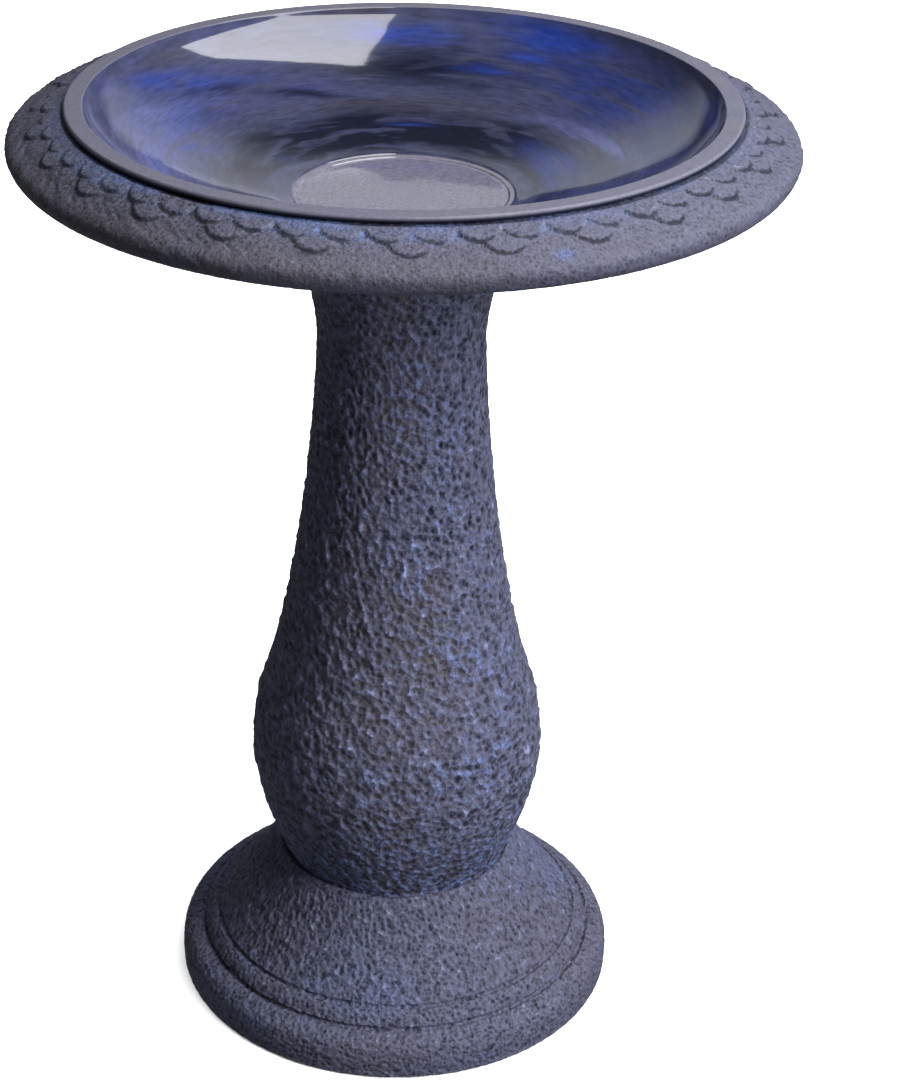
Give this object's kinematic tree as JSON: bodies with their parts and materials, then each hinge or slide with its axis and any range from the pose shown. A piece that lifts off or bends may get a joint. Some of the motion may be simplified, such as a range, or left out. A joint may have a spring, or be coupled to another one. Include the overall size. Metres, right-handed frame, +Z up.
{
  "type": "bird bath",
  "caption": "Free-standing garden bird bath: a glazed basin in a rolled textured rim lifts off a hollow baluster pedestal, which stands in a round ballast base.",
  "frame": {"origin": "centre of the foot, on the ground plane", "axes": "+Z up along the pedestal's axis; X and Y are equivalent, the object being round"},
  "size_m": [0.52, 0.52, 0.681],
  "materials": {
    "glazed_basin": "mottled blue, navy and grey, high gloss inside and matte on the lip",
    "stone_rim": "matte stone grain with raised overlapping scales",
    "hammered_pedestal": "satin, deeply hammered, with worn blue high spots",
    "pebbled_base": "satin, fine pebbled grain",
    "moulded_fitting": "plain moulded",
    "plug": "plain moulded",
    "rubber": "matte",
    "screw": "zinc plated"
  },
  "bodies": {
    "base": {"base_shell": "pebbled_base", "base_plate": "moulded_fitting", "plate_screws": "screw", "foot_pads": "rubber"},
    "pedestal": {"pedestal": "hammered_pedestal", "neck_spigot": "moulded_fitting", "foot_ring": "moulded_fitting"},
    "bowl": {"basin": "glazed_basin", "bowl_shell": "stone_rim", "bowl_socket": "moulded_fitting", "socket_screws": "screw"},
    "plug": {"filler_plug": "plug", "plug_seal": "rubber"}
  },
  "joints": [
    {"name": "pedestal_lift", "type": "slide", "parent": "base", "child": "pedestal", "axis": [0, 0, 1], "range_m": [0, 0.08]},
    {"name": "bowl_lift", "type": "slide", "parent": "pedestal", "child": "bowl", "axis": [0, 0, 1], "range_m": [0, 0.1]},
    {"name": "plug_pull", "type": "slide", "parent": "base", "child": "plug", "axis": [0, 0, 1], "range_m": [0, 0.03]}
  ]
}
